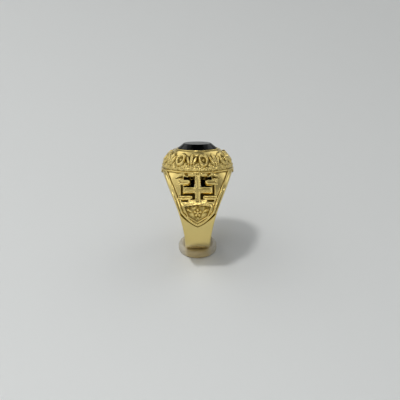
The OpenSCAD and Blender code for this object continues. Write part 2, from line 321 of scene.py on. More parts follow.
def shieldDistance(x, z):
    # signed distance to the shield: the largest of the distances to its slightly pitched top and its sides
    corners = panel["shield"]
    sides = [lineDistance(x, z, (0.0, corners[0][1] + panel["archRise"]), corners[0])]
    for a, b in zip(corners, corners[1:]):
        sides.append(lineDistance(x, z, a, b))
    return np.maximum.reduce(sides)


def stubDistances(x, z):
    # signed distances to the upper and the lower round-ended bars, which run out as far as the border
    p = panel
    low, high = p["lowStub"]
    farEnd = x - channelEnd - p["stubPast"]
    upper = rodDistance(x, z, p["stubTip"], p["stub"], p["stubThick"])
    lower = rodDistance(x, z, p["lowStubTip"], (low + high) / 2, high - low)
    return [np.maximum(upper, farEnd), np.maximum(lower, farEnd)]


def barHeight(distance):
    # share of a bar's height: soft walls, less a shallow groove along its middle
    p = panel
    groove = p["grooveDeep"] / (p["high"] - p["ground"]) * within(distance + p["grooveIn"], p["grooveSoft"])
    return within(distance + p["barInset"], p["soft"]) - groove


def addBars(height, x, z, inside):
    # post, cross arm and round-ended bars, then the arched bar, a low bar and the rail over the windows
    p = panel
    rise = p["high"] - p["ground"]
    post = boxDistance(x, z, (pastMiddle, p["arch"] + p["postUp"]), (p["postWide"] / 2, p["postTop"]))
    arm = boxDistance(x, z, (pastMiddle, p["arm"][0]), (p["armLong"] / 2, p["arm"][1]), p["armCorner"])
    bars = np.minimum.reduce([post, arm] + stubDistances(x, z))
    height = height + rise * barHeight(bars) * inside

    archMiddle = p["arch"] + p["archThick"] / 2 + p["archRise"] * (1 - (x / p["archHalf"]) ** 2)
    arch = np.maximum(np.abs(z - archMiddle) - p["archThick"] / 2, x - p["archHalf"])
    baseLow, baseHigh = p["baseBar"]
    baseBar = boxDistance(x, z, (pastMiddle, baseLow), (p["baseLong"], baseHigh), p["baseCorner"])
    sag = p["railSag"] * np.sin(np.pi * np.clip((x - p["railFrom"]) / p["railLong"], 0, 1))
    rail = np.maximum(p["windowTop"] + p["railUp"] - sag - z, x - p["railEnd"])
    for line, share in ((arch, 1.0), (baseBar, p["baseShare"]), (rail, p["railShare"])):
        wall = within(line + p["barInset"], p["soft"])
        height = np.maximum(height, (p["ground"] + rise * share * wall) * inside)
    return height


def flowerShape(xSigned, z):
    # half balls for the flower's middle and its five petals, and half an egg for the leaf on each side
    p = panel
    up = z - p["flowerAt"]
    shape = bump(np.hypot(xSigned, up), p["petal"] * p["flowerMiddle"])
    for k in range(5):
        turn = math.radians(90 + 72 * k)
        petalX, petalZ = p["petalFrom"] * math.cos(turn), p["petalFrom"] * math.sin(turn)
        shape = np.maximum(shape, bump(np.hypot(xSigned - petalX, up - petalZ), p["petal"]))
    turn = math.radians(p["leafTurn"])
    leafX, leafZ = np.abs(xSigned) - p["leafAt"][0], z - p["leafAt"][1]
    along = leafX * math.cos(turn) + leafZ * math.sin(turn)
    across = leafZ * math.cos(turn) - leafX * math.sin(turn)
    leaf = bump(np.hypot(along / p["leafSize"][0], across / p["leafSize"][1]), 1)
    return np.maximum(shape, leaf * p["leafShare"])


def addShield(height, xSigned, z, shield, inside):
    # raised frame, a fine line inside it, and a sunk ground with the flower
    p = panel
    frameBar = np.maximum(shield - shieldOut, p["shieldLine"] - shield)
    height = height + (p["high"] - height) * within(frameBar + p["barInset"], p["soft"]) * inside
    line = np.maximum(shield - p["shieldLine"], -shield)
    height = height - p["shieldLineDeep"] * within(line + p["shieldLineInset"], p["shieldLineSoft"]) * inside
    ground = within(shield + p["shieldInset"], p["shieldSoft"]) * inside
    height = height - p["shieldDeep"] * ground
    return height + p["flowerHigh"] * flowerShape(xSigned, z) * ground


def cutChannels(height, x, z, inside):
    # channels round the arms and beside the post, the windows' slanted corner, and a slit under the low bars
    p = panel
    c, postHalf, windowTop = p["channelWide"], p["postWide"] / 2, p["windowTop"]
    armLow, armHigh = p["arm"]
    channels = np.minimum.reduce([
        boxDistance(x, z, (p["armLong"] / 2, armLow - c), (channelEnd, stubLow)),
        boxDistance(x, z, (postHalf, armHigh), (channelEnd, stubHigh)),
        boxDistance(x, z, (postHalf, armLow - c), (channelEnd, armLow)),
        boxDistance(x, z, (postHalf, p["lowStub"][0]), (p["lowStubTip"] + p["lowStubIn"], armLow)),
        boxDistance(x, z, (postHalf, p["stub"]), (p["windowX"], windowTop - p["windowDrop"])),
    ])
    channels = np.maximum(channels, -np.minimum.reduce(stubDistances(x, z)))
    slant = lineDistance(x, z, (p["windowX"], windowTop), (p["windowTaper"], stubHigh))
    corner = np.maximum(np.maximum(stubHigh - z, slant), p["cornerFrom"] - x)
    cut = within(np.minimum(channels, corner) - p["channelGrow"], p["channelSoft"])
    depth = p["deep"] + (p["shallow"] - p["deep"]) * smooth((x - p["shallowFrom"]) / p["shallowOver"])
    height = height + (depth - height) * cut * inside
    slit = boxDistance(x, z, (p["slitX"][0], p["slit"][0]), (p["slitX"][1], p["slit"][1]), p["slitCorner"])
    slitCut = within(slit - p["slitGrow"], p["slitSoft"]) * inside
    return height + (p["deep"] * p["slitShare"] - height) * slitCut


def addBorder(height, x, z, edge, shield):
    # raised border with a rounded ridge, notches along its pointed part, and a fine line on each side
    p = panel
    half = p["borderWide"] / 2
    strip = within(np.abs(edge + half) - half + p["borderInset"], p["wallSoft"])
    strip = strip * smooth((edge + p["borderWide"]) / p["borderSoft"] + 0.5)
    ridge = bump(edge + p["borderWide"] * p["ridgeAt"], p["ridgeHalf"])
    ridge = 1 - p["ridgeShare"] + p["ridgeShare"] * ridge
    alongEdge = x * np.sqrt(1 + (p["tipSlope"] + p["tipCurve"] * x) ** 2)
    notches = 0.5 + 0.5 * np.cos(2 * math.pi * alongEdge / p["notch"])
    notched = within(np.abs(edge + p["notchAt"]) - p["notchHalf"], p["notchSoft"])
    notched = smooth((p["notchTop"] - z) / p["notchTop"]) * notched
    borderHeight = p["high"] * ridge - p["notchDeep"] * notches * notched
    height = height + (borderHeight - height) * strip * np.where(edge < p["borderSoft"], 1, 0)

    # the outer line fades upwards, and is fainter round the tip
    fade = smooth((p["lineTop"] - z) / p["lineOver"])
    tipFade = smooth((z - p["tipLineTo"]) / p["tipLineOver"])
    outerLine = within(np.abs(edge - p["lineAt"]) - p["lineHalf"], p["lineSoft"]) * fade
    outerLine = outerLine * (p["tipLineShare"] + (1 - p["tipLineShare"]) * tipFade)
    height = height - p["lineDeep"] * outerLine
    innerLine = within(np.abs(edge + p["borderWide"] + p["innerAt"]) - p["innerHalf"], p["lineSoft"])
    return height - p["innerDeep"] * innerLine * np.where(shield > shieldOut, 1, 0)


def panelHeight(xSigned, z, sideDistance):
    # height of the surface above the plain band: the panel's ground, then bars, shield, channels and border
    p = panel
    x = np.abs(xSigned)
    edge = panelDistance(x, z, sideDistance)
    shield = shieldDistance(x, z)
    inside = within(edge + p["inset"], p["wallSoft"])
    outside = p["ledge"] * smooth((z - p["ledgeFrom"]) / p["ledgeOver"]) * (1 - inside)
    height = outside + p["ground"] * inside
    height = addBars(height, x, z, inside)
    height = addShield(height, xSigned, z, shield, inside)
    height = cutChannels(height, x, z, inside)
    return addBorder(height, x, z, edge, shield)


def shankRows():
    # angles of the sections: close together over the panels, wide apart on the band and under the head
    s = shank
    plain = np.linspace(-s["panelFrom"], s["panelFrom"], s["bandRows"], endpoint=False)
    onPanel = np.arange(s["panelFrom"], s["panelTo"], s["rowStep"])
    hidden = np.linspace(s["panelTo"], 360 - s["panelTo"], s["hiddenRows"], endpoint=False)
    rows = np.concatenate([plain, onPanel, hidden, np.sort(-onPanel) + 360])
    return np.where(rows > 180, rows - 360, rows)


def sideEdge(a, half, across, deep, side, relief):
    # one side of the hoop: a quarter round outside, a flat middle and a smaller quarter round at the bore
    s = shank
    wall = np.linalg.norm(skin(a, np.ones_like(a), 0)[..., 1:], axis=-1) - boreRadius
    deep = np.minimum(deep, wall * s["wallShare"])
    comfort = np.minimum(s["comfort"], wall * s["wallShare"])
    outerTurn = np.radians(np.linspace(0, 90, 6))[None, 1:]
    innerTurn = np.radians(np.linspace(0, 90, 5))[None, :]
    fall = deep * (1 - np.cos(outerTurn)) * (1 + s["reliefDrop"] * np.clip(relief, 0, 1))
    outer = skin(a, side * (1 - across / half * (1 - np.sin(outerTurn))), relief - fall)
    way = np.arctan2(outer[:, -1, 1], outer[:, -1, 2])[:, None]
    radius = boreRadius + comfort * (1 - np.sin(innerTurn))
    x = side * (half - comfort * (1 - np.cos(innerTurn)))
    inner = np.stack(np.broadcast_arrays(x, radius * np.sin(way), radius * np.cos(way)), -1)
    middle = (outer[:, -1:] + inner[:, :1]) / 2
    return np.concatenate([outer, middle, inner], 1)


def unitRadial(points):
    # direction straight away from the finger's axis
    out = points * [0, 1, 1]
    return out / np.maximum(np.linalg.norm(out, axis=-1, keepdims=True), 1e-6)


def makeShank():
    # hoop: one closed section at each angle, which runs across the relief outside, down one edge,
    # back along the finger hole's wall and up the other edge
    s = shank
    a = shankRows()[:, None]
    level = -pathRadius(a) * np.cos(np.radians(a))
    half = halfWidthAt(level)
    onShoulder = smooth((np.abs(a) - s["edgeFrom"]) / s["edgeOver"])
    across, deep = (low + (high - low) * onShoulder for low, high in (s["edgeAcross"], s["edgeDeep"]))
    shares = np.linspace(1, -1, s["columns"])[None, :] * (1 - across / half)
    height = panelHeight(skin(a, shares, 0)[..., 0], level, (np.abs(shares) - 1) * half)
    top = skin(a, shares, height)
    firstEdge = sideEdge(a, half, across, deep, 1, height[:, :1])
    secondEdge = sideEdge(a, half, across, deep, -1, height[:, -1:])

    innerShares = np.linspace(-1, 1, s["boreColumns"])[None, 1:-1] * (1 - s["comfort"] / half)
    under = skin(a, innerShares, 0)
    way = np.arctan2(under[..., 1], under[..., 2])
    bore = np.stack([innerShares * half, boreRadius * np.sin(way), boreRadius * np.cos(way)], -1)
    sections = np.concatenate([top, secondEdge, bore, firstEdge[:, ::-1]], 1)

    offBore = np.hypot(sections[..., 1], sections[..., 2]) > boreRadius + s["plainBore"]
    uneven = s["uneven"] * ripples(sections, s["unevenSize"], s["unevenSeed"]) * np.where(offBore, 1, 0)
    sections = sections + uneven[..., None] * unitRadial(sections)
    rows, cols = sections.shape[:2]
    return makeMesh("ring", sections.reshape(-1, 3), [gridQuads(rows, cols, True)[:, ::-1]])


def arc(centre, radius, fromTurn, toTurn, count):
    # points on a circle between two angles in degrees
    turn = np.radians(np.linspace(fromTurn, toTurn, count))
    return [(centre[0] + radius * math.cos(t), centre[1] + radius * math.sin(t)) for t in turn]


def windowPrism(side, face):
    # the pierced window beside the post, with the round tip of the upper bar standing into it;
    # it is cut square to the leaning panel, so it runs down towards the middle of the ring
    p = panel
    r = p["stubThick"] / 2 + p["windowInset"]
    tip = (p["stubTip"] + p["stubThick"] / 2, p["stub"])
    low, left, right = p["arm"][1] + p["windowInset"], p["postWide"] / 2 + p["windowInset"], p["windowX"]
    topX = np.linspace(right, left, p["sagSteps"])
    sag = p["windowSag"] * np.sin(np.pi * (topX - left) / (right - left))
    outline = [(left, low), (right, low), (right, p["stub"] - r)]
    outline += arc(tip, r, 270, 90, p["tipSteps"]) + [(right, p["stub"] + r)]
    outline += list(zip(topX, p["windowTop"] + p["windowUp"] - sag))
    outline = np.array(outline)
    count = len(outline)
    ends = []
    for far in (0, 2 * bandRadius):
        height = outline[:, 1] + p["lean"] * (far - p["at"])
        ends.append(np.column_stack([side * outline[:, 0], np.full(count, face * far), height]))
    c = np.arange(count)
    walls = np.stack([c, (c + 1) % count, count + (c + 1) % count, count + c], -1)
    caps = np.stack([c[::-1], count + c])
    if side * face > 0:
        walls, caps = walls[:, ::-1], caps[:, ::-1]
    return makeMesh("window", np.concatenate(ends), [walls, caps])


# head: an oval dome between the lower lip and the rim round the stone
head = {
    "long": 18.8, "wide": 16.4, "beadOut": 0.2, "from": 10.08, "rim": 15.32, "bulge": 1.6, "domeTop": 0.95,
    "stoneLong": 10.0, "stoneWide": 8.0, "seatGap": 0.06, "girdleDrop": 0.4,
    "baseDrop": 2.0, "baseShare": 0.62,
    "rimHigh": 0.3, "rimWide": 0.42, "rimEdge": 0.09, "rimCorner": 0.03, "rimSkirt": 0.05,
    "rimSink": (0.07, 0.04),
    "lipDrop": 0.5, "lipIn": 0.25, "rootIn": 1.0, "root": 8.0, "hollowGrow": 0.1,
    "uneven": 0.015, "unevenSize": 1.7, "unevenSeed": 5, "columns": 432, "rows": 62,
}
seatTop = head["rim"] - head["girdleDrop"] - head["seatGap"]
seatFloor = seatTop - head["baseDrop"]
# frieze: oval rims with a bead in them and palmettes by turns, over a row of beads with a pit under each
frieze = {
    "motifs": 16, "middle": 0.6, "high": 0.56, "soft": 0.26,
    "ovalHalf": (1.34, 1.95), "ovalInset": 0.1, "ovalRim": 0.66, "ovalPit": 0.42, "ovalBead": 0.3,
    "ovalBeadShare": 0.8,
    "leafHalf": (0.48, 2.05), "sideLeafHalf": (0.4, 1.6), "sideLeafAt": (0.86, -0.25), "sideLeafTurn": 16,
    "leafInset": 0.06,
    "bead": 0.34, "beadHigh": 0.3, "beadAt": 0.19,
    "pit": 0.24, "pitAt": 0.1, "pitDeep": 0.35, "pitSoft": 0.18,
    "grain": 0.5, "grainHigh": 0.14, "grainRadius": 8.2, "grainSeed": 11, "grainFade": (1.4, 3.5),
    "lipRoll": 0.24, "lipHigh": 0.24, "lipAt": 0.03, "lipTop": 0.3,
    "lipLine": 0.16, "lipLineAt": 0.4, "lipLineDeep": 0.06,
    # where the metal counts as open ground: below this height, and this far from the rim
    "openBelow": 0.32, "openSoft": 0.2, "openFromRim": 0.75, "openRimSoft": 0.4,
}


def ovalRing(half, z, turn):
    # half and z are columns, one for each row; turn is a row of angles
    x, y = half[:, :1] * np.cos(turn), half[:, 1:] * np.sin(turn)
    return np.stack(np.broadcast_arrays(x, y, z[:, None]), -1)


def domeHalf(u):
    # half length and half width at share u of the dome's height: it narrows with a power of u
    h = head
    low = np.array([h["long"], h["wide"]]) / 2 - h["beadOut"]
    high = np.array([h["stoneLong"], h["stoneWide"]]) / 2 + h["domeTop"]
    return low + (high - low) * (u ** h["bulge"])[:, None]


def lengthUp(up, share):
    # length up the dome at a share of its rows, one value for each column
    return up[[int(round(share * (head["rows"] - 1)))], :]


def ovalHeight(x, z):
    # an oval rim round a sunk middle, with a half ball in it
    f = frieze
    wide, high = f["ovalHalf"]
    oval = (np.hypot(x / wide, z / high) - 1) * wide
    pit = f["ovalPit"] * within(oval + f["ovalRim"], f["soft"])
    rim = f["high"] * within(oval + f["ovalInset"], f["soft"]) - pit
    return np.maximum(rim, f["ovalBeadShare"] * f["high"] * bump(np.hypot(x, z), f["ovalBead"]))


def palmetteHeight(x, z):
    # an upright leaf between two shorter ones that lean out
    f = frieze
    turn = math.radians(f["sideLeafTurn"])
    across, rise = np.abs(x) - f["sideLeafAt"][0], z - f["sideLeafAt"][1]
    sideX = across * math.cos(turn) - rise * math.sin(turn)
    sideZ = rise * math.cos(turn) + across * math.sin(turn)
    leaf = leafDistance(x, z, f["leafHalf"])
    sideLeaf = leafDistance(sideX, sideZ, f["sideLeafHalf"])
    return f["high"] * within(np.minimum(leaf, sideLeaf) + f["leafInset"], f["soft"])


def friezeHeight(turn, along, up):
    # relief of the dome and its share of open ground; along is the real length on the dome for a radian
    # of turn, and up the real length from its lowest edge
    f = frieze
    pitch = 2 * math.pi / f["motifs"]
    cell = np.floor(turn / pitch)
    x = (turn - (cell + 0.5) * pitch)[None, :] * along
    z = up - lengthUp(up, f["middle"])
    stipple = grains(turn[None, :] * f["grainRadius"] + 0 * up, up, f["grain"], f["grainSeed"])
    height = f["grainHigh"] * stipple * smooth(f["grainFade"][0] - up / f["grainFade"][1])
    height = np.maximum(height, np.where((cell % 2 == 0)[None, :], ovalHeight(x, z), palmetteHeight(x, z)))

    # beads low on the dome with a pit under each, and the rounded lip below them
    beadX = (turn - np.round(turn / pitch * 2) * pitch / 2)[None, :] * along
    beads = bump(np.hypot(beadX, up - lengthUp(up, f["beadAt"])), f["bead"])
    height = np.maximum(height, f["beadHigh"] * beads)
    pits = np.hypot(beadX, up - lengthUp(up, f["pitAt"])) - f["pit"]
    height = height - f["pitDeep"] * within(pits, f["pitSoft"])
    lip = f["lipHigh"] * bump(up - f["lipAt"], f["lipRoll"])
    aboveLip = smooth((up - f["lipTop"]) / f["lipTop"])
    height = np.maximum(height * aboveLip, lip) - f["lipLineDeep"] * bump(up - f["lipLineAt"], f["lipLine"])
    belowRim = smooth((up[-1:] - f["openFromRim"] - up) / f["openRimSoft"])
    return height, smooth((f["openBelow"] - height) / f["openSoft"]) * aboveLip * belowRim


def lipRings(turn):
    # under the dome: the root inside the shoulders, then a quarter round out to the dome's lowest edge
    h = head
    low = domeHalf(np.zeros(1))[0]
    under = low - h["lipIn"]
    quarter = np.radians(np.linspace(0, 90, 5))[1:-1]
    half = np.vstack([under - h["rootIn"], under, under + (low - under) * np.sin(quarter)[:, None]])
    z = np.concatenate([[h["root"], h["from"] - h["lipDrop"]], h["from"] - h["lipDrop"] * np.cos(quarter)])
    return ovalRing(half, z, turn)


def domeRings(turn):
    # the dome, with its frieze raised straight out of it
    h = head
    u = np.linspace(0, 1, h["rows"])
    dome = ovalRing(domeHalf(u), h["from"] + (h["rim"] - h["rimHigh"] - h["from"]) * u, turn)
    upStep = np.diff(dome, axis=0, prepend=dome[:1])
    up = np.cumsum(np.linalg.norm(upStep, axis=-1), axis=0)
    alongVector = (np.roll(dome, -1, 1) - np.roll(dome, 1, 1)) / (2 * turn[1])
    out = np.cross(alongVector, np.gradient(dome, axis=0))
    out /= np.linalg.norm(out, axis=-1, keepdims=True)
    height, ground = friezeHeight(turn, np.linalg.norm(alongVector, axis=-1), up)
    uneven = out * h["uneven"] * ripples(dome, h["unevenSize"], h["unevenSeed"])[..., None]
    return dome + out * height[..., None] + uneven, ground


def rimRings(turn):
    # above the dome: the rim with small round edges, the seat's wall down to the girdle, and its floor
    h = head
    stoneHalf = np.array([h["stoneLong"], h["stoneWide"]]) / 2
    out, inner = stoneHalf + h["rimWide"], stoneHalf + h["seatGap"]
    top, base = h["rim"], h["rim"] - h["rimHigh"]
    edge, corner = h["rimEdge"], h["rimCorner"]
    half = [out + h["rimSkirt"], out, out, out - corner, out - edge,
            inner + edge, inner + corner, inner, inner, inner * h["baseShare"]]
    z = [base - h["rimSink"][0], base - h["rimSink"][1], top - edge, top - corner, top,
         top, top - corner, top - edge, seatTop, seatFloor]
    return ovalRing(np.array(half), np.array(z), turn)


def makeHead():
    # rings from the root up over the lip, dome and rim and down into the seat, closed at both ends
    h = head
    turn = np.arange(h["columns"]) * 2 * math.pi / h["columns"]
    lip = lipRings(turn)
    dome, ground = domeRings(turn)
    rings = np.concatenate([lip, dome, rimRings(turn)])
    piece = closedBarrel("head", rings, [0, 0, h["root"]], [0, 0, seatFloor])
    values = np.zeros(rings.shape[:2])
    values[len(lip):len(lip) + len(dome)] = ground
    addPointValues(piece, "ground", np.append(values, [0, 0]))
    return piece


# what the ring's material reads: how deep a point lies, and the parts where it paints shade or a deeper
# yellow
zones = {
    "passes": 40, "fullDepth": 0.22, "insideFrom": 0.45, "insideSoft": 0.3, "insideLow": -1, "insideOver": 4,
    "reliefIn": 0.1, "reliefSoft": 0.4, "headFrom": 9, "sharp": 75,
}


def addRecess(piece):
    # how far each point lies below the surface averaged over its surroundings: 1 in the deepest pits,
    # 0.5 on level ground and 0 on sharp ridges; the average is taken again and again from point to point
    mesh = piece.data
    count = len(mesh.vertices)
    points = getPoints(piece)
    normals = np.empty(count * 3, dtype=np.float32)
    mesh.vertices.foreach_get("normal", normals)
    edges = np.empty(len(mesh.edges) * 2, dtype=np.int32)
    mesh.edges.foreach_get("vertices", edges)
    a, b = edges.reshape(-1, 2).T
    degree = np.bincount(a, minlength=count) + np.bincount(b, minlength=count)
    average = points.copy()
    for _ in range(zones["passes"]):
        summed = [np.bincount(a, average[b, i], count) + np.bincount(b, average[a, i], count)
                  for i in range(3)]
        average = 0.5 * average + 0.5 * np.stack(summed, -1) / degree[:, None]
    depth = np.einsum("ij,ij->i", average - points, normals.reshape(-1, 3))
    addPointValues(piece, "recess", np.clip(0.5 + 0.5 * depth / zones["fullDepth"], 0, 1))


def addZones(piece):
    # inside: 1 on the upper part of the finger hole's wall, where the material paints shade into the hoop
    # relief: 1 on the panels and the head, where the material paints a deeper yellow for gold reflected in
    # gold
    k = zones
    x, y, z = getPoints(piece).T
    onBore = smooth((boreRadius + k["insideFrom"] - np.hypot(y, z)) / k["insideSoft"])
    addPointValues(piece, "inside", onBore * smooth((z - k["insideLow"]) / k["insideOver"]))
    edge = panelDistance(np.abs(x), z, np.abs(x) - halfWidthAt(z))
    onPanel = within(edge + k["reliefIn"], k["reliefSoft"])
    addPointValues(piece, "relief", np.maximum(onPanel, smooth(z - k["headFrom"])))


def makeRing():
    # hoop with its four windows cut through, joined to the head, whose underside is cut to the finger hole
    piece = makeShank()
    for side in (1, -1):
        for face in (1, -1):
            combine(piece, windowPrism(side, face), "DIFFERENCE")
    top = makeHead()
    hollow = makeRod("hollow", boreRadius + head["hollowGrow"], 2 * bandRadius, roundSides)
    combine(top, hollow, "DIFFERENCE")
    combine(piece, top, "UNION")
    addRecess(piece)
    addZones(piece)
    shadeSmooth(piece)
    piece.data.set_sharp_from_angle(angle=math.radians(zones["sharp"]))
    setPoints(piece, toRow(getPoints(piece)))
    return piece


ring = makeRing()
triangles = sum(len(p.vertices) - 2 for p in ring.data.polygons)
print("ring:", len(ring.data.vertices), "points,", triangles, "triangles")

# clear foot
foot = {
    "wide": 10.0, "high": 2.3, "lowEdge": 0.6, "edge": 1.0, "flatIn": 0.6, "forward": 0.4, "gap": 0.06,
    "sides": 128, "sharp": 35,
}


def makeFoot():
    # a disc whose profile has two quarter rounds, carried round its upright axis, with a trough for the band
    f = foot
    r, low, e = f["wide"] / 2, f["lowEdge"], f["edge"]
    quarter = np.radians(np.linspace(0, 90, 10))
    flat = [r - e - f["flatIn"]]
    radius = np.concatenate([flat, r - low + low * np.sin(quarter), r - e + e * np.cos(quarter), flat])
    height = np.concatenate([
        [0], low - low * np.cos(quarter), f["high"] - e + e * np.sin(quarter), [f["high"]]])
    turn = np.arange(f["sides"]) * 2 * math.pi / f["sides"]
    middle = np.array([0, -f["forward"], 0])
    rings = lathe(radius, height, turn) + middle
    piece = closedBarrel("footDisc", rings, middle, middle + [0, 0, f["high"]])
    trough = makeRod("trough", bandRadius + f["gap"], shank["bandWide"] / 2 + 2 * f["gap"], roundSides)
    setPoints(trough, getPoints(trough) + [0, 0, axisHeight])
    combine(piece, trough, "DIFFERENCE")
    setPoints(piece, getPoints(piece) * mm)
    shadeSmooth(piece)
    piece.data.set_sharp_from_angle(angle=math.radians(f["sharp"]))
    return piece


footDisc = makeFoot()
print("foot:", len(footDisc.data.vertices), "points")


# materials
noiseRange = (0.3, 0.7)      # most of a noise texture lies in here


def colour(hexCode):
    # sRGB hex to linear
    parts = [int(hexCode[i:i + 2], 16) / 255 for i in (1, 3, 5)]
    return [c / 12.92 if c <= 0.04045 else ((c + 0.055) / 1.055) ** 2.4 for c in parts] + [1.0]


def addNode(tree, kind, inputs=None, **settings):
    # adds a node with its settings, and with a link or a value for each input named
    node = tree.nodes.new(kind)
    for name, value in settings.items():
        setattr(node, name, value)
    for name, value in (inputs or {}).items():
        if isinstance(value, bpy.types.NodeSocket):
            tree.links.new(value, node.inputs[name])
        else:
            node.inputs[name].default_value = value
    return node


def newMaterial(name):
    # a new material with its shader, and the piece's own coordinates in metres
    material = bpy.data.materials.new(name)
    material.use_nodes = True
    tree = material.node_tree
    at = addNode(tree, "ShaderNodeTexCoord").outputs["Object"]
    return material, tree, tree.nodes["Principled BSDF"], at


def blend(tree, share, low, high):
    # colour between low and high by the share
    return addNode(tree, "ShaderNodeMix", {0: share, 6: low, 7: high}, data_type="RGBA").outputs[2]


def spread(tree, value, low, high, toLow, toHigh):
    # carries a value smoothly from one range to another
    return addNode(tree, "ShaderNodeMapRange", {
        "Value": value, "From Min": low, "From Max": high, "To Min": toLow, "To Max": toHigh},
        interpolation_type="SMOOTHSTEP").outputs[0]


# recess runs from 0.5 on level metal to 1 in the deepest pits; grain and wander are in mm
# of these colours the browns are partly tarnish in the hollows and partly painted shade, the near black is
# painted shade inside the hoop, and the second yellow is a painted reflection of gold in gold
gold = {
    "polished": "#e4ce86", "reliefReflection": "#e5cc80", "tarnishAndShade": "#806a2c", "hollow": "#33280f", "inside": "#120c03",
    "groundShadeShare": 0.04, "tarnishAndShadeRecess": (0.52, 0.73), "deepTarnishAndShadeRecess": (0.73, 0.97), "dullRecess": (0.5, 0.9),
    "roughness": 0.15, "roughnessSpread": (-0.05, 0.07), "hollowRoughness": 0.45,
    "wander": 1.4, "wanderStrength": 0.35, "wanderDeep": 0.05,
    "grain": 0.22, "grainStrength": 0.3, "grainDeep": 0.012,
}


def castYellowGold():
    # 10 carat yellow gold, cast and polished by hand: bright pale yellow where it was buffed, with slightly
    # uneven reflections, and browner, duller metal in the hollows, partly tarnish that the buff didn't reach
    # and partly painted shade; the frieze's ground and the finger hole's upper wall get painted shade, and
    # the relief a painted deeper yellow for gold reflected in gold
    g = gold
    material, tree, shader, at = newMaterial("castYellowGold")
    recess, inside, ground, relief = (
        addNode(tree, "ShaderNodeAttribute", attribute_name=name).outputs["Fac"]
        for name in ("recess", "inside", "ground", "relief"))
    wander, grain = (
        addNode(tree, "ShaderNodeTexNoise", {
            "Vector": at, "Scale": 1 / (size * mm), "Detail": detail}).outputs["Fac"]
        for size, detail in ((g["wander"], 4.0), (g["grain"], 3.0)))
    # painted reflection: a deeper yellow on the panels and head, for gold reflected in gold
    base = blend(tree, relief, colour(g["polished"]), colour(g["reliefReflection"]))
    # painted shade on the frieze's open ground between the motifs
    base = blend(tree, spread(tree, ground, 0, 1, 0, g["groundShadeShare"]), base, colour(g["tarnishAndShade"]))
    # browner and near black in the hollows: partly tarnish, partly painted shade
    base = blend(tree, spread(tree, recess, *g["tarnishAndShadeRecess"], 0, 1), base, colour(g["tarnishAndShade"]))
    base = blend(tree, spread(tree, recess, *g["deepTarnishAndShadeRecess"], 0, 1), base, colour(g["hollow"]))
    # painted shade: near black on the upper wall of the finger hole, seen through the windows
    base = blend(tree, inside, base, colour(g["inside"]))
    tree.links.new(base, shader.inputs["Base Color"])
    least, most = (g["roughness"] + change for change in g["roughnessSpread"])
    rough = addNode(tree, "ShaderNodeMath", {
        0: spread(tree, wander, *noiseRange, least, most),
        1: spread(tree, recess, *g["dullRecess"], 0, g["hollowRoughness"] - g["roughness"])},
        operation="ADD")
    tree.links.new(rough.outputs[0], shader.inputs["Roughness"])
    shader.inputs["Metallic"].default_value = 1.0
    uneven = addNode(tree, "ShaderNodeBump", {
        "Height": wander, "Strength": g["wanderStrength"], "Distance": g["wanderDeep"] * mm})
    fine = addNode(tree, "ShaderNodeBump", {
        "Height": grain, "Strength": g["grainStrength"], "Distance": g["grainDeep"] * mm,
        "Normal": uneven.outputs[0]})
    tree.links.new(fine.outputs[0], shader.inputs["Normal"])
    return material


# the cloud in the stone, and the haze and the middle of the foot, are in mm
stone = {"dark": "#010202", "cloudy": "#050607", "cloud": 3, "roughness": (0.04, 0.09), "ior": 1.3}


def polishedOnyx():
    # black onyx, a dyed chalcedony cut and polished on a lap: glossy black with the faintest cloud;
    # its index is brought down from 1.54, so that the crown reflects as little as the real one does
    material, tree, shader, at = newMaterial("polishedOnyx")
    cloud = addNode(tree, "ShaderNodeTexNoise", {
        "Vector": at, "Scale": 1 / (stone["cloud"] * mm), "Detail": 3.0}).outputs["Fac"]
    base = blend(tree, cloud, colour(stone["dark"]), colour(stone["cloudy"]))
    tree.links.new(base, shader.inputs["Base Color"])
    tree.links.new(spread(tree, cloud, *noiseRange, *stone["roughness"]), shader.inputs["Roughness"])
    shader.inputs["IOR"].default_value = stone["ior"]
    return material


acrylic = {
    "pale": "#e6ddc8", "grey": "#ddd3bb", "middle": "#e3cc97", "goldReflectionFade": (2.2, 4), "haze": 2,
    "roughness": (0.12, 0.26), "transmission": 0.38, "ior": 1.49,
}


def castAcrylic():
    # clear acrylic, cast and gone cloudy with wear: a dull grey, with a painted yellow reflection in the
    # middle, where the gold shows through
    c = acrylic
    material, tree, shader, at = newMaterial("castAcrylic")
    haze = addNode(tree, "ShaderNodeTexNoise", {
        "Vector": at, "Scale": 1 / (c["haze"] * mm), "Detail": 3.0}).outputs["Fac"]
    along = addNode(tree, "ShaderNodeSeparateXYZ", {0: at}).outputs["X"]
    out = addNode(tree, "ShaderNodeMath", {0: along}, operation="ABSOLUTE").outputs[0]
    sideShare = spread(tree, out, c["goldReflectionFade"][0] * mm, c["goldReflectionFade"][1] * mm, 0, 1)
    grey = blend(tree, haze, colour(c["pale"]), colour(c["grey"]))
    # painted reflection: yellower in the middle, where the gold above shows through
    tree.links.new(blend(tree, sideShare, colour(c["middle"]), grey), shader.inputs["Base Color"])
    tree.links.new(spread(tree, haze, *noiseRange, *c["roughness"]), shader.inputs["Roughness"])
    shader.inputs["Transmission Weight"].default_value = c["transmission"]
    shader.inputs["IOR"].default_value = c["ior"]
    return material


dressed = (
    (ring, "ring_body", "yellow_gold", castYellowGold()),
    (footDisc, "clear_foot", "clear_acrylic", castAcrylic()),
)
for piece, node, slotName, material in dressed:
    piece.data.materials.clear()
    piece.data.materials.append(material)
    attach(piece, "root")
    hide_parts(node)
for holder in frame["nodes"]["onyx_stone"].material_slots:
    holder.material = polishedOnyx()
print("materials done")

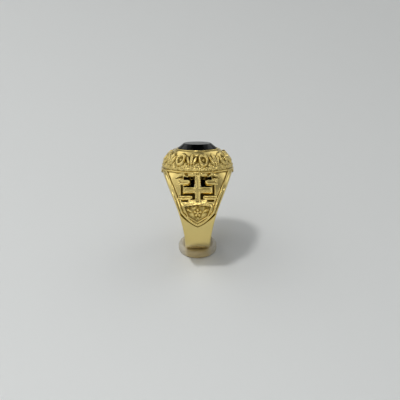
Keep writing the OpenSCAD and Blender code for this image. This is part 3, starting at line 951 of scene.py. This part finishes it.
# pale floor that rises into a round wall, so that every view has it behind; sizes in mm, the painted
# fall-off in metres
studio = {
    "floorRadius": 420, "wallHigh": 60, "cove": 260, "floorRows": 30, "coveRows": 24, "sides": 96,
    # far and wall are painted shade: the paper greys away from the lamps and up the wall
    "paper": "#eaebe9", "far": "#cfd0ce", "wall": "#b4b5b4", "wallShadeFrom": (0.02, 0.35),
    "paintedFalloffWay": (0.94, 0.34, 0), "paintedFalloff": (-0.14, 0.18), "roughness": 0.85,
}


def makeFloor():
    # flat disc, then a quarter of a circle up into an upright wall; the profile is carried round z
    s = studio
    quarter = np.radians(np.linspace(0, 90, s["coveRows"]))[1:]
    reach = s["floorRadius"] + s["cove"]
    flat = np.linspace(2, s["floorRadius"], s["floorRows"])
    radius = np.concatenate([flat, s["floorRadius"] + s["cove"] * np.sin(quarter), [reach]])
    height = np.concatenate([0 * flat, s["cove"] * (1 - np.cos(quarter)), [s["cove"] + s["wallHigh"]]])
    turn = np.arange(s["sides"]) * 2 * math.pi / s["sides"]
    rings = lathe(radius, height, turn) * mm
    rows, cols = rings.shape[:2]
    points = np.concatenate([rings.reshape(-1, 3), [[0, 0, 0]]])
    c = np.arange(cols)
    fan = np.stack([c, (c + 1) % cols, np.full(cols, rows * cols)], -1)
    piece = makeMesh("floor", points, [gridQuads(rows, cols)[:, ::-1], fan])
    shadeSmooth(piece)
    return piece


def coatedPaper():
    # matt coated background paper: pale and even, with painted shade that greys it away from the lamps and
    # up the wall
    s = studio
    material, tree, shader, at = newMaterial("coatedPaper")
    across = addNode(
        tree, "ShaderNodeVectorMath", {0: at, 1: s["paintedFalloffWay"]}, operation="DOT_PRODUCT").outputs["Value"]
    # painted shade: greyer away from the lamps
    paper = blend(tree, spread(tree, across, *s["paintedFalloff"], 0, 1), colour(s["paper"]), colour(s["far"]))
    height = addNode(tree, "ShaderNodeSeparateXYZ", {0: at}).outputs["Z"]
    # painted shade: greyer up the wall
    paper = blend(tree, spread(tree, height, *s["wallShadeFrom"], 0, 1), paper, colour(s["wall"]))
    tree.links.new(paper, shader.inputs["Base Color"])
    shader.inputs["Roughness"].default_value = s["roughness"]
    return material


floor = makeFloor()
floor.data.materials.append(coatedPaper())

# each lamp is a disc: its power, its width in mm and its place; the rest is the brightness of the room
lighting = {
    "key": (3.4, 155, (-300, -190, 1045)),
    "glints": {"rightGlint": (0.5, 230, (480, -480, 900)), "frontGlint": (0.65, 300, (-120, -800, 730)),
               "topGlint": (0.4, 240, (-60, -130, 1060))},
    "aimAt": (0, 0, 10), "room": "#f4f6f8", "front": 0.3, "rear": 1.3, "frontRange": (-0.6, 0.1),
    "left": (-0.8, -0.35, 0.49), "leftHigh": 0.6, "leftRange": (0.4, 0.95),
    "dark": (0, 0.574, 0.819), "darkShare": 0.04, "darkRange": (0.87, 0.96),
}


def aim(thing, fromPoint, toPoint):
    # places a lamp or a camera and turns it to look at a point, both in mm
    thing.location = Vector(fromPoint) * mm
    thing.rotation_mode = "QUATERNION"
    thing.rotation_quaternion = (Vector(toPoint) - Vector(fromPoint)).to_track_quat("-Z", "Y")


def makeLamp(name, power, size, fromPoint):
    data = bpy.data.lights.new(name, "AREA")
    data.shape, data.size, data.energy = "DISK", size * mm, power
    lamp = bpy.data.objects.new(name, data)
    bpy.context.scene.collection.objects.link(lamp)
    aim(lamp, fromPoint, lighting["aimAt"])
    return lamp


def makeRoom():
    # the room round the ring: brighter behind it and on the left, with one dark patch high at the back
    room = lighting
    world = bpy.data.worlds.new("studio")
    bpy.context.scene.world = world
    world.use_nodes = True
    tree = world.node_tree
    way = addNode(tree, "ShaderNodeTexCoord").outputs["Generated"]
    toLeft, toFront, toDark = (
        addNode(tree, "ShaderNodeVectorMath", {0: way, 1: axis}, operation="DOT_PRODUCT").outputs["Value"]
        for axis in (room["left"], (0, -1, 0), room["dark"]))
    sky = addNode(tree, "ShaderNodeMath", {
        0: spread(tree, toLeft, *room["leftRange"], 0, room["leftHigh"]),
        1: spread(tree, toFront, *room["frontRange"], room["rear"], room["front"])},
        operation="ADD").outputs[0]
    sky = addNode(tree, "ShaderNodeMath", {
        0: sky, 1: spread(tree, toDark, *room["darkRange"], 1, room["darkShare"])},
        operation="MULTIPLY").outputs[0]
    background = tree.nodes["Background"]
    tree.links.new(sky, background.inputs["Strength"])
    background.inputs["Color"].default_value = colour(room["room"])


# the key casts the shadow and stays out of reflections; weaker lamps make the sparkle on the gold
keyLamp = makeLamp("keyLight", *lighting["key"])
keyLamp.visible_glossy = False
for name, (power, size, fromPoint) in lighting["glints"].items():
    makeLamp(name, power, size, fromPoint).visible_diffuse = False
makeRoom()
bpy.context.scene.view_settings.view_transform = "Standard"

# camera: 30 degrees above the floor in front of the ring; lengths in mm, the clip range in metres
shot = {
    "distance": 500, "elevation": 30, "azimuth": -0.5, "lens": 172, "sensor": 36,
    "aimRight": 0.65, "aimUp": 1.5, "clip": (0.01, 10),
}


def makeCamera():
    s = shot
    data = bpy.data.cameras.new("camera")
    data.lens, data.sensor_width = s["lens"], s["sensor"]
    data.clip_start, data.clip_end = s["clip"]
    camera = bpy.data.objects.new("camera", data)
    bpy.context.scene.collection.objects.link(camera)
    tilt, swing = math.radians(s["elevation"]), math.radians(s["azimuth"])
    back = np.array([math.sin(swing) * math.cos(tilt), -math.cos(swing) * math.cos(tilt), math.sin(tilt)])
    right = np.array([math.cos(swing), math.sin(swing), 0])
    target = np.array([0, 0, axisHeight]) + s["aimRight"] * right + s["aimUp"] * np.cross(right, -back)
    aim(camera, target + s["distance"] * back, target)
    bpy.context.scene.camera = camera


makeCamera()
print("stage, light and camera done")
